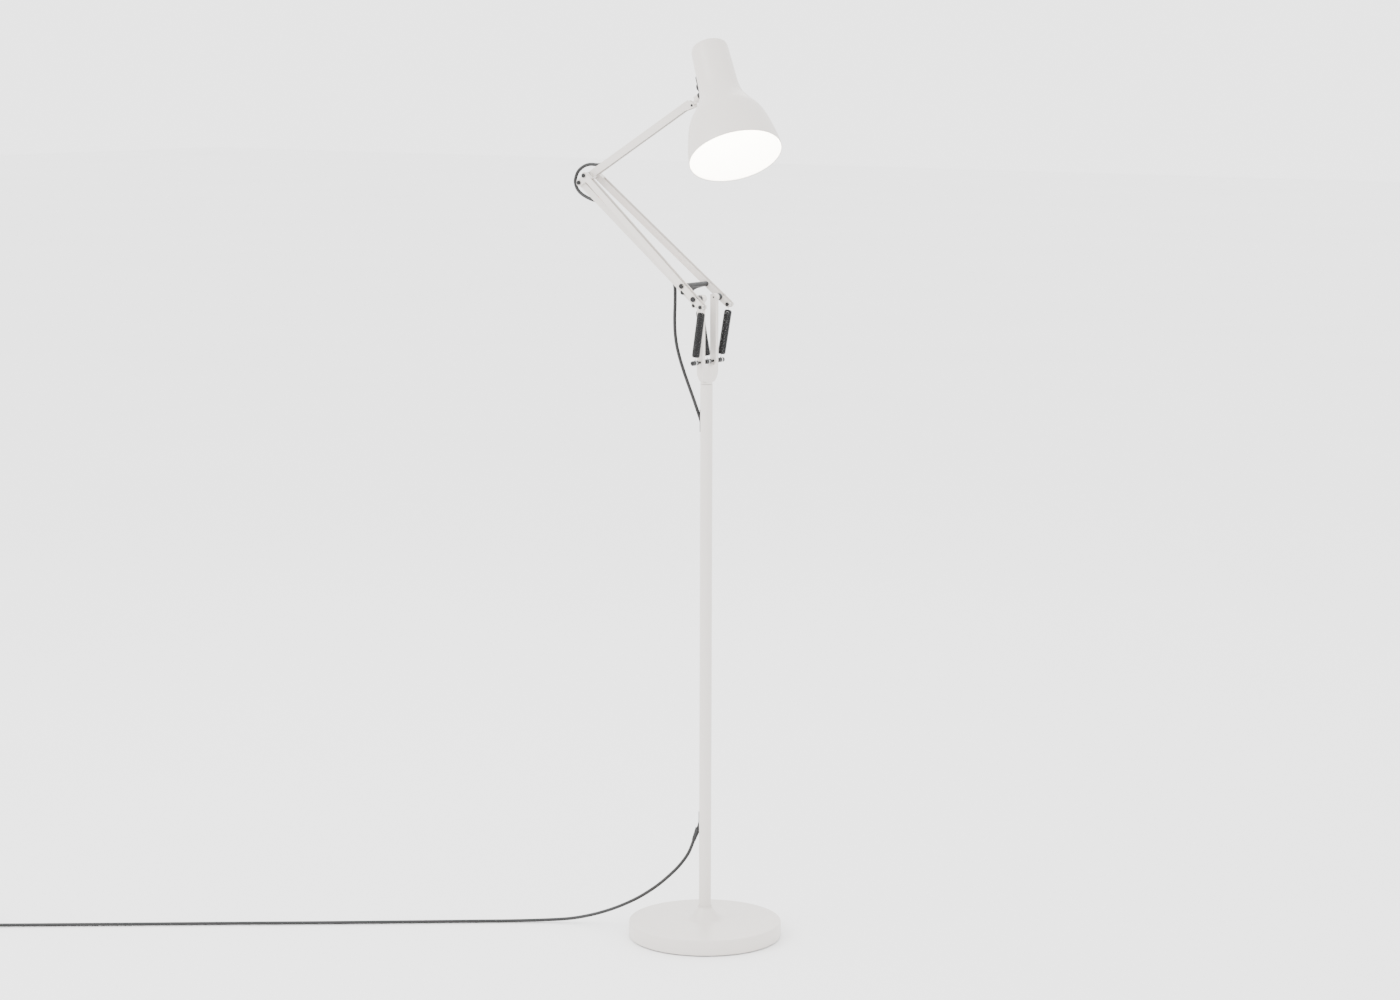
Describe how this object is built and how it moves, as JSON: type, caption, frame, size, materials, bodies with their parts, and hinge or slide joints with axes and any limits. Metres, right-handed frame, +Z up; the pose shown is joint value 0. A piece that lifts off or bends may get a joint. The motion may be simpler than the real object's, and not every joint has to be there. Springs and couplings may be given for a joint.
{
  "type": "adjustable arm floor lamp",
  "caption": "Floor lamp with a round weighted base, upright pole, sprung jointed arm, tilting bell shade and a mains cord with plug.",
  "frame": {"origin": "centre of the base's underside, on the floor", "axes": "+Z up along the pole; the arm moves in the XZ plane, with its elbow on the -X side and the shade coming back towards +X"},
  "size_m": [1.3914, 0.8851, 1.5866],
  "materials": {
    "white_paint": "satin off-white enamel",
    "black_plastic": "black moulded",
    "black_steel": "blackened steel",
    "bright_steel": "plated",
    "cast_weight": "as cast",
    "cord_cover": "black braided flex",
    "red_strip": "woven strip",
    "opal_glass": "opal lamp glass"
  },
  "bodies": {
    "base": {"base_pad": "black_plastic", "base_weight": "cast_weight", "base_cover": "white_paint", "base_bolt": "black_steel", "pole_foot": "black_steel", "pole": "white_paint", "pole_bush": "black_plastic", "cord_grommet_upper": "black_plastic", "cord_grommet_lower": "black_plastic", "pole_cord": "cord_cover", "mains_cord": "cord_cover", "cord_coil": "cord_cover", "cord_tie": "black_plastic", "plug": "black_plastic"},
    "fork": {"fork": "white_paint", "swivel_spindle": "black_steel", "anchor_rod": "black_steel", "anchor_sleeve_near": "black_plastic", "anchor_sleeve_middle": "black_plastic", "anchor_sleeve_far": "black_plastic", "arm_loop": "cord_cover", "spring_near": "black_steel", "spring_far": "black_steel", "spring_middle": "black_steel"},
    "lower_arm": {"near_bar": "white_paint", "far_bar": "white_paint", "spreader": "black_plastic", "friction_washer_near": "black_plastic", "friction_washer_far": "black_plastic", "spreader_bolt": "black_steel", "spring_bolt_near": "black_steel", "spring_bolt_far": "black_steel", "spring_nut_near": "bright_steel", "spring_nut_far": "bright_steel", "elbow_bolt": "black_steel", "elbow_washer_near": "black_plastic", "elbow_washer_far": "black_plastic", "pivot_bolt_near": "black_steel", "pivot_bolt_far": "black_steel"},
    "lever": {"lever": "white_paint", "link_lower_pin": "black_steel"},
    "link": {"link_bar": "white_paint", "link_strip": "red_strip", "cord_clamp_bolt": "black_steel", "link_cord": "cord_cover"},
    "upper_arm": {"upper_arm": "white_paint", "crank_near": "white_paint", "crank_far": "white_paint", "link_upper_pin": "black_steel", "arm_cord": "cord_cover", "arm_end_pin": "black_steel", "elbow_cord": "cord_cover"},
    "knuckle": {"tilt_knuckle": "white_paint"},
    "head": {"shade": "white_paint", "shade_mount": "black_plastic", "lampholder": "black_plastic", "bulb": "opal_glass"},
    "switch": {"switch_rocker": "black_plastic"}
  },
  "joints": [
    {"name": "swivel", "type": "hinge", "parent": "base", "child": "fork", "pos_m": [0, 0, 0.99], "axis": [0, 0, 1], "range_deg": [-150, 150]},
    {"name": "shoulder", "type": "hinge", "parent": "fork", "child": "lower_arm", "pos_m": [0.003, 0, 1.1405], "axis": [0, 1, 0], "range_deg": [-25, 55], "deforming": ["spring_near", "spring_far", "spring_middle", "arm_loop"]},
    {"name": "elbow", "type": "hinge", "parent": "lower_arm", "child": "upper_arm", "pos_m": [-0.25035, 0, 1.34566], "axis": [0, 1, 0], "range_deg": [-60, 32], "deforming": ["elbow_cord"]},
    {"name": "link_pivot", "type": "hinge", "parent": "upper_arm", "child": "link", "pos_m": [-0.27085, 0, 1.33216], "axis": [0, 1, 0], "range_deg": [-32, 60]},
    {"name": "lever_pivot", "type": "hinge", "parent": "lower_arm", "child": "lever", "pos_m": [0.003, 0, 1.1405], "axis": [0, 1, 0], "range_deg": [-60, 32]},
    {"name": "tilt", "type": "hinge", "parent": "upper_arm", "child": "knuckle", "pos_m": [-0.02954, 0, 1.47134], "axis": [0, 1, 0], "range_deg": [-50, 60]},
    {"name": "shade_swivel", "type": "hinge", "parent": "knuckle", "child": "head", "pos_m": [0.02202, 0, 1.50803], "axis": [0.866, 0, 0.5], "range_deg": [-75, 110]},
    {"name": "switch_tip", "type": "hinge", "parent": "head", "child": "switch", "pos_m": [-0.01816, 0.00533, 1.50323], "axis": [0.1587, 0.9483, -0.2748], "range_deg": [-5, 5]}
  ],
  "couplings": [
    {"joint": "link_pivot", "follows": "elbow", "ratio": -1},
    {"joint": "lever_pivot", "follows": "elbow", "ratio": 1}
  ]
}
